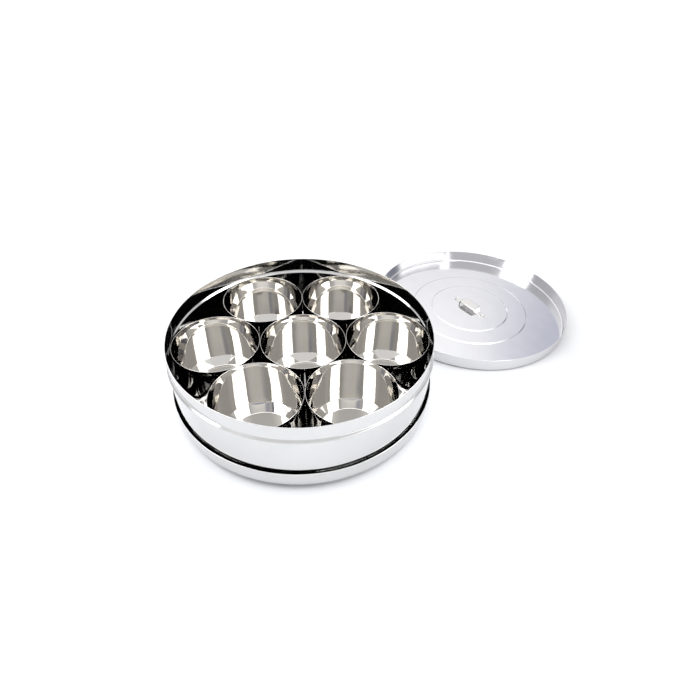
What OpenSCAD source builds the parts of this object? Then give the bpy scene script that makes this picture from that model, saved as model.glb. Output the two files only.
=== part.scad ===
// Round stainless spice box: a necked box with seven loose cups, a dished inner
// lid with a strap handle, and a cap-shaped outer lid turned up under the box.
// Origin: centre of the outer lid's resting face. +Z up, +X along the middle row of cups.

/* [Sheet] */
// Thickness of the pressed sheet
sheet = 0.6; // [0.5:0.1:0.7]

/* [Box] */
// Outer diameter of the neck
neck_d = 201; // [190:1:210]
// Height of the box from its floor to its rim
box_h = 60.4; // [56:0.2:64]
// Height of the neck that the outer lid slips over
neck_h = 11.6; // [10:0.1:13]
// How far the body stands out past the neck
body_out = 0.6; // [0.4:0.1:1.4]
// How far the bead under the neck stands out past the neck
bead_out = 1.6; // [1.4:0.1:2.1]
// Height of that bead
bead_h = 3.2; // [2.8:0.1:3.6]
// Outer radius of the bend between the wall and the floor
box_bend = 4.5; // [4:0.5:6]

/* [Cups] */
// How far the cups' rims sit below the rim of the box
cup_drop = 12.6; // [12:0.1:14]
// Gap between neighbouring rims
cup_gap = 0.3; // [0.2:0.1:0.6]
// Gap between the outer cups and the neck
cup_wall_gap = 0.3; // [0.3:0.1:0.6]
// How much the wall draws in from the rim to the crease
cup_draw = 1.2; // [0.8:0.1:1.6]
// Height of the sloping ring between the floor and the crease
bevel_h = 7; // [5:0.2:8]
// Width of the sloping ring
bevel_w = 5.6; // [5:0.2:7]

/* [Outer lid] */
// Height of the outer lid
cap_h = 17.6; // [15:0.1:19]
// Clearance between the bead and the outer lid
cap_gap = 0.4; // [0.3:0.1:0.8]
// How far the top panel stands out past the rest of the top
step_h = 1.2; // [1:0.1:1.6]
// Radius of the top panel
step_r = 84; // [78:1:88]

/* [Inner lid] */
// Outer diameter of the inner lid
dish_d = 189; // [180:0.2:190]
// Height of its upturned rim
dish_h = 12; // [10:0.2:13]
// Gap between the outer lid and the inner lid laid beside it
dish_gap = 0.6; // [0.6:0.1:20]
// Direction from the box to the lid laid beside it
dish_side = 31.1; // [0:0.1:90]
// Radii of the two pressed steps
ring_r = [38, 57];
// Rise of each pressed step
ring_rise = 0.5; // [0.3:0.1:0.6]

/* [Strap handle] */
// Length from ear to ear
strap_l = 41; // [38:1:50]
// Width of the raised grip
strap_w = 11; // [9:1:15]
// Width of the ears
ear_w = 6; // [5:0.5:8]
// Length of each ear
ear_l = 8.5; // [7:0.5:10]
// Thickness of the strap
strap_t = 0.8; // [0.6:0.1:1]
// Gap under the grip
grip_gap = 3.6; // [3:0.1:6]
// Length of each rising leg, seen from above
leg_l = 3; // [2:0.5:4]
// Direction of the strap, seen from above
strap_turn = -60; // [-90:1:90]

/* [Hidden] */

round_fn = 180;
small_fn = 48;
bend_steps = 6;
steel = [0.80, 0.80, 0.79];
bright = [0.88, 0.88, 0.89];

// Thickened rim of the outer lid: how far it stands out, and how tall it is
cap_lip = 0.3;
lip_h = 2.4;

// Radii of the outer bends and of the bead's crown, and the chamfer that eases each crease
cap_bend = 6.3;
dish_bend = 2;
crown_r = 1.1;
crown_half_angle = 50;
ease = 0.4;

neck_or = neck_d / 2;
neck_ir = neck_or - sheet;
body_or = neck_or + body_out;
cap_ir = neck_or + bead_out + cap_gap;
cap_or = cap_ir + sheet;

box_z = step_h + sheet;         // the box stands here
cup_z = box_z + sheet;          // the cups stand here
rim_z = box_z + box_h;
bead_z = rim_z - neck_h - bead_h / 2;
cup_h = rim_z - cup_drop - cup_z;

cup_r = (neck_ir - cup_wall_gap - cup_gap) / 3;
cup_ring = 2 * cup_r + cup_gap;
crease_r = cup_r - cup_draw;
cup_floor_r = crease_r - bevel_w;

dish_r = dish_d / 2;
dish_dist = cap_or + dish_gap + dish_r;
dish_pos = [dish_dist * cos(dish_side), dish_dist * sin(dish_side), 0];
dish_top = sheet + 2 * ring_rise;   // top of the centre panel

// Points of an arc about c, from angle a to angle b
function arc(c, r, a, b, n = bend_steps) =
    [for (i = [0:n]) let (t = a + (b - a) * i / n) [c[0] + r * cos(t), c[1] + r * sin(t)]];

// Rounded top edge of a wall of thickness t, from its outer side to its inner side
function edge(outer_r, t, top) = arc([outer_r - t / 2, top - t / 2], t / 2, 0, 180);

function flip(pts) = [for (i = [len(pts) - 1:-1:0]) pts[i]];

// A sheet spun about Z, between an outer and an inner outline that both run up from the axis
module spun(outer, inner) {
    rotate_extrude($fn = round_fn) polygon(concat(outer, flip(inner)));
}

// Cap whose top panel stands out by step_h; it lies here rim up
module outer_lid() {
    slope_end = step_r + step_h;
    bend_c = [cap_or - cap_bend, step_h + cap_bend];
    color(steel) spun(
        concat([[0, 0], [step_r, 0], [slope_end, step_h]],
            arc(bend_c, cap_bend, -90, 0),
            [[cap_or, cap_h - lip_h], [cap_or + cap_lip, cap_h - lip_h + cap_lip]],
            edge(cap_or + cap_lip, sheet + cap_lip, cap_h)),
        concat([[0, sheet], [step_r - ease * sheet, sheet], [slope_end - ease * sheet, box_z]],
            arc(bend_c, cap_bend - sheet, -90, 0)));
}

// Straight-sided box; a bead rolled outwards parts the neck from the body
module box_body() {
    bend_c = [body_or - box_bend, box_z + box_bend];
    crown_c = [neck_or + bead_out - crown_r, bead_z];
    bead_low = bead_z - bead_h / 2;
    bead_high = bead_z + bead_h / 2;
    color(steel) spun(
        concat([[0, box_z]],
            arc(bend_c, box_bend, -90, 0),
            [[body_or, bead_low]],
            arc(crown_c, crown_r, -crown_half_angle, crown_half_angle),
            [[neck_or, bead_high]],
            edge(neck_or, sheet, rim_z)),
        concat([[0, cup_z]],
            arc(bend_c, box_bend - sheet, -90, 0),
            [[body_or - sheet, bead_low]],
            arc(crown_c, crown_r - sheet, -crown_half_angle, crown_half_angle),
            [[neck_ir, bead_high]]));
}

// One cup, standing on z = 0
module cup() {
    color(bright) spun(
        concat([[0, 0], [cup_floor_r, 0], [cup_floor_r + 2 * ease, ease],
                [crease_r - ease, bevel_h - ease], [crease_r, bevel_h + ease], [cup_r, cup_h - sheet / 2]],
            edge(cup_r, sheet, cup_h)),
        concat([[0, sheet], [cup_floor_r - ease, sheet], [cup_floor_r + ease, sheet + ease],
                [crease_r - sheet - ease, bevel_h], [crease_r - sheet, bevel_h + 2 * ease]]));
}

// The cup that stands at the given corner of the ring, counted in sixths of a turn
module ring_cup(sixth) {
    rotate(60 * sixth) translate([cup_ring, 0, cup_z]) cup();
}

// Shallow dish with an upturned rim and two pressed steps
module inner_lid() {
    bend_c = [dish_r - dish_bend, dish_bend];
    in_r = ease * sheet;
    color(bright) translate(dish_pos) spun(
        concat([[0, 2 * ring_rise], [ring_r[0], 2 * ring_rise], [ring_r[0] + 2 * ring_rise, ring_rise],
                [ring_r[1], ring_rise], [ring_r[1] + 2 * ring_rise, 0]],
            arc(bend_c, dish_bend, -90, 0),
            edge(dish_r, sheet, dish_h)),
        concat([[0, dish_top], [ring_r[0] + in_r, dish_top],
                [ring_r[0] + 2 * ring_rise + in_r, sheet + ring_rise],
                [ring_r[1] + in_r, sheet + ring_rise], [ring_r[1] + 2 * ring_rise + in_r, sheet]],
            arc(bend_c, dish_bend - sheet, -90, 0)));
}

// Side view of the strap: two flat ears, two legs and a raised grip
module strap_side() {
    end = strap_l / 2;
    foot = end - ear_l;
    knee = foot - leg_l;
    over = strap_t * ease;
    polygon([[-end, 0], [-foot, 0], [-knee, grip_gap], [knee, grip_gap], [foot, 0], [end, 0],
        [end, strap_t], [foot + over, strap_t], [knee + over, grip_gap + strap_t],
        [-knee - over, grip_gap + strap_t], [-foot - over, strap_t], [-end, strap_t]]);
}

// Outline of the strap from above: round-ended ears and a wider, gently bowed grip
module strap_plan() {
    foot = strap_l / 2 - ear_l;
    bow_r = 60;
    square([strap_l - ear_w, ear_w], center = true);
    for (s = [-1, 1]) translate([s * (strap_l - ear_w) / 2, 0]) circle(d = ear_w, $fn = small_fn);
    intersection() {
        square([2 * foot, strap_w], center = true);
        intersection_for (t = [-1, 1])
            translate([0, t * (bow_r - strap_w / 2)]) circle(r = bow_r, $fn = round_fn);
    }
}

// Strap handle, spot-welded to the lid through a shallow dimple in each ear
module lid_handle() {
    tall = grip_gap + strap_t;
    dimple_r = 4;
    dimple_depth = 0.3;
    dimple_z = strap_t + dimple_r - dimple_depth;
    color(bright) translate(dish_pos + [0, 0, dish_top]) rotate(strap_turn) difference() {
        intersection() {
            rotate([90, 0, 0]) linear_extrude(strap_w, center = true) strap_side();
            linear_extrude(tall) strap_plan();
        }
        for (s = [-1, 1])
            translate([s * (strap_l - ear_w) / 2, 0, dimple_z]) sphere(dimple_r, $fn = small_fn);
    }
}

outer_lid();
box_body();
translate([0, 0, cup_z]) cup();  // cup_centre
ring_cup(0);  // cup_right
ring_cup(1);  // cup_back_right
ring_cup(2);  // cup_back_left
ring_cup(3);  // cup_left
ring_cup(4);  // cup_front_left
ring_cup(5);  // cup_front_right
inner_lid();
lid_handle();
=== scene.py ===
"""Looks for a round stainless spice box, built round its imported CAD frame. Metres, +Z up."""
import math

import bpy
from mathutils import Matrix, Vector, noise


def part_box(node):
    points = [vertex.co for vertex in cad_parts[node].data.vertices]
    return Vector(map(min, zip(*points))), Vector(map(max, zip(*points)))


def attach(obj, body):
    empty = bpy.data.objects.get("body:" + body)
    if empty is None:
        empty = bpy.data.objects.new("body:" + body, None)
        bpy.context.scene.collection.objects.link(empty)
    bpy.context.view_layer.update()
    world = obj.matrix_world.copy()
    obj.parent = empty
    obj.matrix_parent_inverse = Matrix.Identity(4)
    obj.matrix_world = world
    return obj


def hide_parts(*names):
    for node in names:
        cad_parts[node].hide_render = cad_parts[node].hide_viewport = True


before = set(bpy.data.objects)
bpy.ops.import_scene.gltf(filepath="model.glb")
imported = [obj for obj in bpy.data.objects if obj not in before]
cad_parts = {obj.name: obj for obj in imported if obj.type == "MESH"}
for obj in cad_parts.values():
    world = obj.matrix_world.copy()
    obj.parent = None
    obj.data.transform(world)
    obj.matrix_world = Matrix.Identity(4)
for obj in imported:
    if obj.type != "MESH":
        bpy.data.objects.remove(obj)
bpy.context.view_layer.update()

MM = 0.001
SHEET = 0.6 * MM
EDGE = 0.3 * MM        # the sheet thins to this at a free edge
EDGE_RUN = 1.2 * MM    # and starts to thin this far from it

# Box: the neck and bead are measured down from its rim
NECK_HEIGHT = 11.6 * MM
BEAD_HEIGHT = 3.2 * MM
BEAD_OUT = 1.6 * MM
BODY_OUT = 0.6 * MM
BOX_BEND = 4.2 * MM

# Cups
CUP_DRAW = 1.2 * MM
BEVEL_HEIGHT = 7.0 * MM
BEVEL_WIDTH = 5.6 * MM

# Outer lid
PANEL_STEP = 1.2 * MM
PANEL_RADIUS = 84 * MM
CAP_BEND = 6.0 * MM
CAP_LIP = 0.3 * MM

# Inner lid
RING_RADII = (57 * MM, 38 * MM)
RING_RISE = 0.5 * MM
DISH_BEND = 1.7 * MM

# Segments round a piece, and how far each piece is out of round
LARGE_SEGMENTS = 240
CUP_SEGMENTS = 144
OUTER_LID_WOBBLE = 0.25 * MM
BOX_WOBBLE = 0.3 * MM
CUP_WOBBLE = 0.08 * MM
INNER_LID_WOBBLE = 0.2 * MM

# Strap handle
STRAP_LENGTH = 41 * MM
STRAP_WIDTH = 11 * MM
EAR_LENGTH = 8.5 * MM
EAR_WIDTH = 6 * MM
LEG_LENGTH = 3 * MM
STRAP_THICKNESS = 0.8 * MM
STRAP_TURN = math.radians(-60)
STRAP_EDGE = 0.3 * MM
WELD_RADIUS = 1.5 * MM
WELD_DEPTH = 0.3 * MM

# Softboxes, in mm: near and far end on the table, lowest and highest point
SOFTBOX_RADIANCE = 4.4
SOFTBOX_LEFT = ((-320, 160), (-205, -145), 110, 700)
SOFTBOX_RIGHT = ((240, 52), (320, -255), 135, 700)

# Camera
CAMERA_YAW = math.radians(-8.624)
CAMERA_PITCH = math.radians(42.545)
CAMERA_ROLL = math.radians(3.663)
CAMERA_TARGET = Vector((52.91, 19.66, 0)) * MM
CAMERA_DISTANCE = 445.5 * MM
CAMERA_LENS = 25.87
CAMERA_SHIFT = (-0.0216, 0.0243)

CUPS = ("cup_centre", "cup_right", "cup_back_right", "cup_back_left", "cup_left",
        "cup_front_left", "cup_front_right")


# ---------------------------------------------------------------- mesh tools

def centre_of(node):
    """Middle of a node's box in plan, at the height of its lowest point."""
    low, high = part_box(node)
    return Vector(((low[0] + high[0]) / 2, (low[1] + high[1]) / 2, low[2]))


def radius_of(node):
    low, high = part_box(node)
    return max(high[0] - low[0], high[1] - low[1]) / 2


def height_of(node):
    low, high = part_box(node)
    return high[2] - low[2]


def rounded_path(corners, steps=6, support=0.3 * MM):
    """Turns (r, z, bend radius) corners into points. Each bend is an arc, and each straight has
    a support point near its ends, which keeps smooth shading inside the bends."""
    points = [Vector(corners[0][:2])]
    for before, here, after in zip(corners, corners[1:], corners[2:]):
        corner = Vector(here[:2])
        if here[2] == 0:
            points.append(corner)
            continue
        back = (Vector(before[:2]) - corner).normalized()
        ahead = (Vector(after[:2]) - corner).normalized()
        half = back.angle(ahead) / 2
        run = here[2] / math.tan(half)
        middle = corner + (back + ahead).normalized() * here[2] / math.sin(half)
        start = corner + back * run - middle
        sweep = math.pi - 2 * half
        if start.cross(ahead) < 0:
            sweep = -sweep
        points.append(corner + back * (run + support))
        for i in range(steps + 1):
            angle = sweep * i / steps
            c, s = math.cos(angle), math.sin(angle)
            points.append(middle + Vector((start.x * c - start.y * s, start.x * s + start.y * c)))
        points.append(corner + ahead * (run + support))
    last = Vector(corners[-1][:2])
    points.append(last + (points[-1] - last).normalized() * support)
    points.append(last)
    return points


def sheet_outline(path, thickness, edge_steps=6):
    """Closed outline of a sheet that follows path from the axis to a thinned, rounded free edge."""
    normals = []
    for i, here in enumerate(path):
        before = path[max(i - 1, 0)]
        after = path[min(i + 1, len(path) - 1)]
        along = (after - before).normalized()
        normals.append(Vector((along.y, -along.x)))
    halves = []
    for here in path:
        near = max(0.0, 1 - (path[-1] - here).length / EDGE_RUN)
        halves.append((thickness - (thickness - EDGE) * near) / 2)
    outer = [p + n * h for p, n, h in zip(path, normals, halves)]
    inner = [p - n * h for p, n, h in zip(path, normals, halves)]
    half = halves[-1]
    end, side = path[-1], normals[-1]
    along = Vector((-side.y, side.x))
    tip = [end + (side * math.cos(a) + along * math.sin(a)) * half
           for a in (math.pi * i / edge_steps for i in range(1, edge_steps))]
    outer[0].x = inner[0].x = 0.0
    return outer + tip + inner[::-1]


def wobble(angle, height, seed, amount):
    """Slight out-of-roundness that pressed sheet has."""
    spot = Vector((math.cos(angle), math.sin(angle), height / (40 * MM)))
    return amount * (noise.noise(spot * 1.3 + Vector((seed, 0, 0)))
                     + 0.5 * noise.noise(spot * 2.9 + Vector((0, seed, 0))))


def spin(name, outline, place, segments, seed, amount):
    """Turns an outline about the vertical axis through place. The first and last points lie on
    the axis."""
    verts, faces = [], []
    rings = []
    for point in outline:
        if point.x < 1e-7:
            rings.append([len(verts)] * segments)
            verts.append((0, 0, point.y))
            continue
        ring = []
        for i in range(segments):
            angle = 2 * math.pi * i / segments
            r = point.x + wobble(angle, point.y, seed, amount) * min(1, point.x / (20 * MM))
            ring.append(len(verts))
            verts.append((r * math.cos(angle), r * math.sin(angle), point.y))
        rings.append(ring)
    for lower, upper in zip(rings, rings[1:]):
        for i in range(segments):
            j = (i + 1) % segments
            face = [lower[i], lower[j], upper[j], upper[i]]
            faces.append(tuple(dict.fromkeys(face)))
    mesh = bpy.data.meshes.new(name)
    mesh.from_pydata(verts, [], faces)
    mesh.shade_smooth()
    mesh.update()
    piece = bpy.data.objects.new(name, mesh)
    piece.location = place
    bpy.context.collection.objects.link(piece)
    return piece


# ---------------------------------------------------------------- materials

class Nodes:
    """Shorthand for building a node tree."""

    def __init__(self, tree):
        self.tree = tree

    def add(self, kind, inputs=None, **settings):
        node = self.tree.nodes.new(kind)
        for key, value in settings.items():
            setattr(node, key, value)
        for key, value in (inputs or {}).items():
            if isinstance(value, bpy.types.NodeSocket):
                self.tree.links.new(value, node.inputs[key])
            else:
                node.inputs[key].default_value = value
        return node

    def math(self, operation, a, b=0.0):
        return self.add("ShaderNodeMath", {0: a, 1: b}, operation=operation).outputs[0]

    def ramp(self, factor, stops):
        node = self.add("ShaderNodeValToRGB", {"Fac": factor})
        ramp = node.color_ramp
        while len(ramp.elements) < len(stops):
            ramp.elements.new(0.5)
        for element, (position, colour) in zip(ramp.elements, stops):
            element.position = position
            element.color = (*colour, 1.0)
        return node.outputs["Color"]

    def span(self, value, low, high):
        """Maps 0..1 to low..high."""
        return self.add("ShaderNodeMapRange", {"Value": value, "To Min": low, "To Max": high}).outputs[0]

    def rise(self, value, low, high):
        """Smooth step from 0 at low to 1 at high."""
        return self.add("ShaderNodeMapRange", {"Value": value, "From Min": low, "From Max": high},
                        interpolation_type="SMOOTHSTEP").outputs[0]

    def fall(self, value, low, high):
        """Smooth step from 1 at low to 0 at high."""
        return self.math("SUBTRACT", 1.0, self.rise(value, low, high))

    def band(self, value, up, down):
        """Rises over the span up and falls again over the span down."""
        return self.math("SUBTRACT", self.rise(value, *up), self.rise(value, *down))

    def mix(self, factor, a, b):
        return self.add("ShaderNodeMix", {"Factor": factor, 6: a, 7: b}, data_type="RGBA").outputs[2]


def steel(name, tint, rough, line_depth, line_pitch=0.35 * MM, sway=0.00012, smudge=0.04):
    """Polished stainless sheet with fine turning lines round the object's own vertical axis."""
    material = bpy.data.materials.new(name)
    material.use_nodes = True
    n = Nodes(material.node_tree)
    shader = material.node_tree.nodes["Principled BSDF"]
    shader.inputs["Metallic"].default_value = 1.0
    place = n.add("ShaderNodeTexCoord").outputs["Object"]
    flat = n.add("ShaderNodeVectorMath", {0: place, 1: (1, 1, 0)}, operation="MULTIPLY").outputs[0]
    radius = n.add("ShaderNodeVectorMath", {0: flat}, operation="LENGTH").outputs["Value"]
    heading = n.add("ShaderNodeVectorMath", {0: flat}, operation="NORMALIZE").outputs[0]
    height = n.add("ShaderNodeSeparateXYZ", {0: place}).outputs["Z"]
    # A length that grows along every part of the section, so the lines follow the turning
    along = n.math("ADD", radius, n.math("MULTIPLY", height, 1.37))
    around = n.add("ShaderNodeSeparateXYZ", {0: heading})
    turned = n.add("ShaderNodeCombineXYZ", {
        "X": n.math("DIVIDE", along, line_pitch),
        "Y": n.math("MULTIPLY", around.outputs["X"], 2.2),
        "Z": n.math("MULTIPLY", around.outputs["Y"], 2.2)}).outputs[0]
    lines = n.add("ShaderNodeTexNoise", {"Vector": turned, "Scale": 1.0, "Detail": 3.0}).outputs["Fac"]
    broad = n.add("ShaderNodeTexNoise", {"Vector": place, "Scale": 28.0, "Detail": 1.0}).outputs["Fac"]
    patches = n.add("ShaderNodeTexNoise", {"Vector": place, "Scale": 75.0, "Detail": 5.0}).outputs["Fac"]
    specks = n.add("ShaderNodeTexNoise", {"Vector": place, "Scale": 900.0, "Detail": 4.0}).outputs["Fac"]
    colour = n.ramp(patches, [(0.3, [c * 0.965 for c in tint]), (0.7, tint)])
    n.tree.links.new(colour, shader.inputs["Base Color"])
    wear = n.math("ADD", n.math("MULTIPLY", lines, 0.5), n.math("MULTIPLY", specks, 0.5))
    roughness = n.math("ADD", n.span(wear, rough * 0.7, rough * 1.3),
                       n.math("MULTIPLY", n.math("MAXIMUM", n.math("SUBTRACT", patches, 0.55), 0), smudge))
    n.tree.links.new(roughness, shader.inputs["Roughness"])
    waves = n.add("ShaderNodeBump", {"Height": broad, "Distance": sway, "Strength": 1.0}).outputs[0]
    grooves = n.add("ShaderNodeBump", {"Height": lines, "Distance": line_depth, "Strength": 1.0,
                                       "Normal": waves}).outputs[0]
    n.tree.links.new(grooves, shader.inputs["Normal"])
    return material


def finish_piece(piece, body, material, slot, *nodes):
    piece.data.materials.append(material)
    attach(piece, body)
    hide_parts(*nodes)


# ---------------------------------------------------------------- pieces

def outer_lid(material):
    node = "outer_lid"
    wall_r = radius_of(node) - CAP_LIP - SHEET / 2
    top = height_of(node)
    floor_z = SHEET / 2
    rim = wall_r + CAP_LIP
    path = rounded_path([
        (0, floor_z, 0),
        (PANEL_RADIUS, floor_z, 0.5 * MM),
        (PANEL_RADIUS + PANEL_STEP, floor_z + PANEL_STEP, 0.5 * MM),
        (wall_r, floor_z + PANEL_STEP, CAP_BEND),
        (wall_r, top - 2.6 * MM, 0.6 * MM),
        (rim, top - 2.0 * MM, 0.6 * MM),
        (rim, top - EDGE / 2, 0)])
    piece = spin("outer_lid_shell", sheet_outline(path, SHEET), centre_of(node), LARGE_SEGMENTS, 3,
                 OUTER_LID_WOBBLE)
    finish_piece(piece, "outer_lid", material, "box_steel", node)


def box_body(material):
    node = "box_body"
    bead_r = radius_of(node) - SHEET / 2
    neck_r = bead_r - BEAD_OUT
    body_r = neck_r + BODY_OUT
    top = height_of(node)
    bead_z = top - NECK_HEIGHT - BEAD_HEIGHT / 2
    path = rounded_path([
        (0, SHEET / 2, 0),
        (body_r, SHEET / 2, BOX_BEND),
        (body_r, bead_z - BEAD_HEIGHT / 2, 0.4 * MM),
        (bead_r + 0.12 * MM, bead_z, 0.3 * MM),
        (neck_r, bead_z + BEAD_HEIGHT / 2, 1.6 * MM),
        (neck_r, top - EDGE / 2, 0)])
    piece = spin("box_shell", sheet_outline(path, SHEET), centre_of(node), LARGE_SEGMENTS, 11,
                 BOX_WOBBLE)
    finish_piece(piece, "box", material, "box_steel", node)


def cup(node, material, seed):
    rim_r = radius_of(node) - EDGE / 2
    crease_r = rim_r - CUP_DRAW
    top = height_of(node) - EDGE / 2
    # The wall draws in most near its foot
    wall = []
    for i in range(1, 9):
        down = 1 - i / 8
        wall.append((rim_r - CUP_DRAW * down ** 2, top - (top - BEVEL_HEIGHT) * down, 0))
    path = rounded_path([
        (0, SHEET / 2, 0),
        (crease_r - BEVEL_WIDTH, SHEET / 2, 1.0 * MM),
        (crease_r, BEVEL_HEIGHT, 1.0 * MM)] + wall)
    piece = spin(node + "_shell", sheet_outline(path, SHEET), centre_of(node), CUP_SEGMENTS, seed,
                 CUP_WOBBLE)
    finish_piece(piece, node, material, "cup_steel", node)


def inner_lid(material):
    node = "inner_lid"
    wall_r = radius_of(node) - SHEET / 2
    top = height_of(node)
    low = SHEET / 2
    ring_out, ring_in = RING_RADII
    path = rounded_path([
        (0, low + 2 * RING_RISE, 0),
        (ring_in, low + 2 * RING_RISE, 0.5 * MM),
        (ring_in + 2 * RING_RISE, low + RING_RISE, 0.5 * MM),
        (ring_out, low + RING_RISE, 0.5 * MM),
        (ring_out + 2 * RING_RISE, low, 0.5 * MM),
        (wall_r, low, DISH_BEND),
        (wall_r, top - EDGE / 2, 0)])
    piece = spin("inner_lid_shell", sheet_outline(path, SHEET), centre_of(node), LARGE_SEGMENTS, 29,
                 INNER_LID_WOBBLE)
    finish_piece(piece, "inner_lid", material, "lid_steel", node)


def strap_width(x):
    """Width of the strap at x from its middle: round-ended ears and a gently bowed grip."""
    end = STRAP_LENGTH / 2
    foot = end - EAR_LENGTH
    from_end = end - abs(x)
    ear = EAR_WIDTH
    if from_end < EAR_WIDTH / 2:
        ear = 2 * math.sqrt(max(0.0, (EAR_WIDTH / 2) ** 2 - (EAR_WIDTH / 2 - from_end) ** 2))
    blend = min(1.0, max(0.0, (foot - abs(x)) / (1.2 * MM)))
    blend = blend * blend * (3 - 2 * blend)
    grip = STRAP_WIDTH - 1.4 * MM * (x / foot) ** 2
    return ear + (grip - ear) * blend


def strap_handle(material):
    node = "lid_handle"
    half = STRAP_THICKNESS / 2
    end = STRAP_LENGTH / 2
    foot = end - EAR_LENGTH
    knee = foot - LEG_LENGTH
    grip_z = height_of(node) - half
    side = rounded_path([(-end, half, 0), (-foot, half, 1.0 * MM), (-knee, grip_z, 1.4 * MM),
                         (knee, grip_z, 1.4 * MM), (foot, half, 1.0 * MM), (end, half, 0)])
    side = densify(side, 0.5 * MM)
    across = 20
    verts, faces = [], []
    for i, here in enumerate(side):
        along = (side[min(i + 1, len(side) - 1)] - side[max(i - 1, 0)]).normalized()
        up = Vector((-along.y, along.x))
        width = max(strap_width(here.x), 0.2 * MM)
        for upper in (True, False):
            for j in range(across + 1):
                t = 2 * j / across - 1
                if not upper:
                    t = -t
                y = t * width / 2
                inset = max(0.0, abs(y) - (width / 2 - STRAP_EDGE)) / STRAP_EDGE
                lift = half - STRAP_EDGE * (1 - math.sqrt(max(0.0, 1 - inset * inset)))
                if upper:
                    ear_x = abs(here.x) - (end - EAR_WIDTH / 2)
                    dent = math.exp(-(ear_x ** 2 + y * y) / WELD_RADIUS ** 2)
                    lift -= WELD_DEPTH * dent
                spot = here + up * (lift if upper else -lift)
                verts.append((spot.x, y, spot.y))
    loop = 2 * (across + 1)
    for i in range(len(side) - 1):
        for j in range(loop):
            k = (j + 1) % loop
            faces.append((i * loop + j, i * loop + k, (i + 1) * loop + k, (i + 1) * loop + j))
    faces.append(tuple(range(loop))[::-1])
    last = (len(side) - 1) * loop
    faces.append(tuple(range(last, last + loop)))
    mesh = bpy.data.meshes.new("lid_strap")
    mesh.from_pydata(verts, [], faces)
    mesh.shade_smooth()
    mesh.transform(Matrix.Rotation(STRAP_TURN, 4, "Z"))
    mesh.update()
    piece = bpy.data.objects.new("lid_strap", mesh)
    piece.location = centre_of(node)
    bpy.context.collection.objects.link(piece)
    finish_piece(piece, "inner_lid", material, "handle_steel", node)


def densify(path, longest):
    """Adds points so that no step of the path is longer than longest."""
    points = [path[0]]
    for a, b in zip(path, path[1:]):
        pieces = max(1, math.ceil((b - a).length / longest))
        points += [a.lerp(b, i / pieces) for i in range(1, pieces + 1)]
    return points


# ---------------------------------------------------------------- studio

def studio_floor():
    size = 8.0
    mesh = bpy.data.meshes.new("floor")
    z = -0.02 * MM
    mesh.from_pydata([(-size, -size, z), (size, -size, z), (size, size, z), (-size, size, z)], [],
                     [(0, 1, 2, 3)])
    floor = bpy.data.objects.new("floor", mesh)
    bpy.context.collection.objects.link(floor)
    material = bpy.data.materials.new("floor_paper_painted_shade")
    material.use_nodes = True
    shader = material.node_tree.nodes["Principled BSDF"]
    n = Nodes(material.node_tree)
    place = n.add("ShaderNodeTexCoord").outputs["Object"]
    away = n.add("ShaderNodeVectorMath", {0: place}, operation="LENGTH").outputs["Value"]
    # Painted shade: the floor is coloured darker near the box and paler far from it, standing in for light
    # that falls off towards the box
    colour = n.ramp(n.rise(away, 0.12, 0.9), [(0.0, (0.595, 0.60, 0.615)), (0.2, (0.73, 0.73, 0.735)),
                                              (1.0, (0.88, 0.88, 0.885))])
    n.tree.links.new(colour, shader.inputs["Base Color"])
    shader.inputs["Roughness"].default_value = 1.0
    shader.inputs["Specular IOR Level"].default_value = 0.0
    mesh.materials.append(material)


def studio_light():
    """A pale room round the table, with a tall softbox on each side of it."""
    world = bpy.data.worlds.new("room")
    bpy.context.scene.world = world
    world.use_nodes = True
    n = Nodes(world.node_tree)
    direction = n.add("ShaderNodeTexCoord").outputs["Generated"]
    xyz = n.add("ShaderNodeSeparateXYZ", {0: direction})
    # -1 .. 1 round the table: 0 towards the viewer's side (-Y), 0.5 to the right, 1 to the far side
    turn = n.math("DIVIDE", n.math("ARCTAN2", xyz.outputs["X"],
                                   n.math("MULTIPLY", xyz.outputs["Y"], -1.0)), math.pi)
    side = n.math("ABSOLUTE", turn)
    height = xyz.outputs["Z"]
    low = n.ramp(side, [(0.0, (0.93, 0.93, 0.94)), (0.20, (0.93, 0.92, 0.92)), (0.30, (1.1, 1.1, 1.1)),
                        (0.55, (0.75, 0.75, 0.76)), (0.73, (0.85, 0.85, 0.87)),
                        (0.82, (1.30, 1.30, 1.33)), (0.90, (1.42, 1.42, 1.42))])
    high = n.ramp(side, [(0.0, (0.86, 0.86, 0.87)), (0.15, (0.88, 0.88, 0.89)), (0.4, (1.6, 1.6, 1.6)),
                         (1.0, (1.85, 1.85, 1.85))])
    walls = n.mix(n.rise(height, 0.70, 0.85), low, high)
    # The far wall darkens towards the table, and again on its right
    far = n.math("MULTIPLY", n.rise(side, 0.72, 0.82), n.fall(height, 0.45, 0.68))
    walls = n.mix(far, walls, (1.08, 1.08, 1.11, 1))
    right = n.math("MULTIPLY", n.rise(turn, 0.70, 0.76), n.fall(turn, 0.805, 0.885))
    right = n.math("MULTIPLY", right, n.fall(height, 0.60, 0.75))
    walls = n.mix(right, walls, (0.68, 0.69, 0.80, 1))
    # Bright strip under the right softbox, and a dark one past its far edge
    strip = n.band(height, (0.33, 0.38), (0.54, 0.58))
    bright = n.band(turn, (0.12, 0.145), (0.49, 0.54))
    walls = n.mix(n.math("MULTIPLY", strip, bright), walls, (2.4, 2.4, 2.4, 1))
    dark = n.band(turn, (0.51, 0.58), (0.66, 0.70))
    walls = n.mix(n.math("MULTIPLY", strip, dark), walls, (0.36, 0.37, 0.43, 1))
    room = n.mix(n.rise(height, 0.93, 0.97), walls, (3.0, 3.0, 3.0, 1))
    n.tree.links.new(room, world.node_tree.nodes["Background"].inputs["Color"])
    softbox("softbox_left", *SOFTBOX_LEFT)
    softbox("softbox_right", *SOFTBOX_RIGHT)


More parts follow.
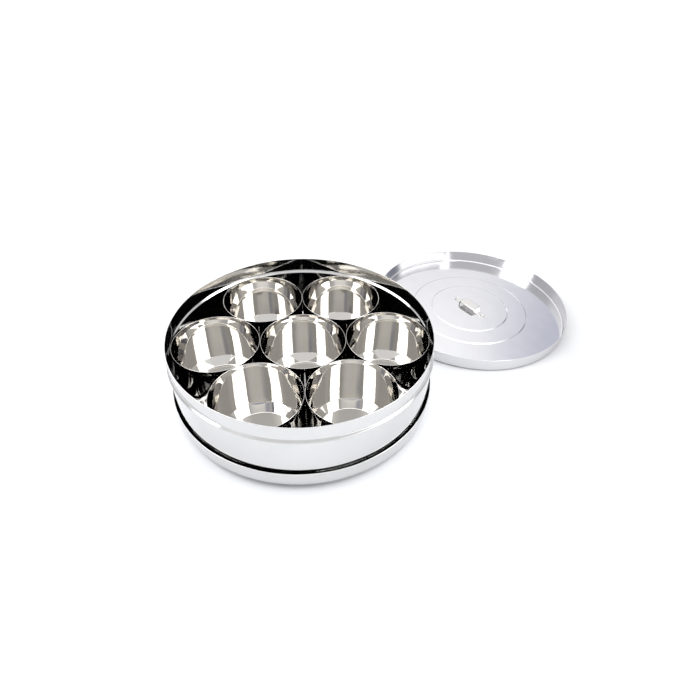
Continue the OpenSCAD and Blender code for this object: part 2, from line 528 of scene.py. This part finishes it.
def softbox(name, near, far, low, high):
    """Upright rectangle of light between two places on the table in mm, facing the box."""
    near, far = Vector((*near, 0)) * MM, Vector((*far, 0)) * MM
    low, high = low * MM, high * MM
    along = far - near
    middle = (near + far) / 2
    middle.z = (low + high) / 2
    facing = along.cross(Vector((0, 0, 1))).normalized()
    if facing.dot(middle) > 0:
        facing = -facing
    light = bpy.data.lights.new(name, "AREA")
    light.shape = "RECTANGLE"
    light.size = along.length
    light.size_y = high - low
    light.energy = SOFTBOX_RADIANCE * math.pi * light.size * light.size_y
    lamp = bpy.data.objects.new(name, light)
    back = -facing
    up = Vector((0, 0, 1))
    right = up.cross(back)
    lamp.matrix_world = Matrix((
        (right.x, up.x, back.x, middle.x),
        (right.y, up.y, back.y, middle.y),
        (right.z, up.z, back.z, middle.z),
        (0, 0, 0, 1)))
    lamp.visible_camera = False
    bpy.context.collection.objects.link(lamp)


def studio_camera():
    """Looks down at the box from the front, a little to the left of the inner lid."""
    level = math.cos(CAMERA_PITCH)
    back = Vector((math.sin(CAMERA_YAW) * level, -math.cos(CAMERA_YAW) * level, math.sin(CAMERA_PITCH)))
    right = Vector((0, 0, 1)).cross(back).normalized()
    up = back.cross(right)
    c, s = math.cos(CAMERA_ROLL), math.sin(CAMERA_ROLL)
    tilted_right = right * c + up * s
    tilted_up = up * c - right * s
    place = CAMERA_TARGET + back * CAMERA_DISTANCE
    camera = bpy.data.objects.new("camera", bpy.data.cameras.new("camera"))
    camera.matrix_world = Matrix((
        (tilted_right.x, tilted_up.x, back.x, place.x),
        (tilted_right.y, tilted_up.y, back.y, place.y),
        (tilted_right.z, tilted_up.z, back.z, place.z),
        (0, 0, 0, 1)))
    camera.data.sensor_width = 36
    camera.data.lens = CAMERA_LENS
    camera.data.shift_x, camera.data.shift_y = CAMERA_SHIFT
    camera.data.clip_start = 0.01
    bpy.context.collection.objects.link(camera)
    bpy.context.scene.camera = camera


# ---------------------------------------------------------------- assembly

box_steel = steel("box_steel", (0.67, 0.67, 0.668), 0.07, 0.0000012)
cup_steel = steel("cup_steel", (0.675, 0.660, 0.635), 0.035, 0.0000006)
lid_steel = steel("lid_steel", (0.70, 0.70, 0.715), 0.12, 0.0000015)
handle_steel = steel("handle_steel", (0.70, 0.69, 0.67), 0.10, 0.0000012)

outer_lid(box_steel)
box_body(box_steel)
for number, name in enumerate(CUPS):
    cup(name, cup_steel, 41 + 7 * number)
inner_lid(lid_steel)
strap_handle(handle_steel)

studio_floor()
studio_light()
studio_camera()
bpy.context.scene.view_settings.view_transform = "Standard"
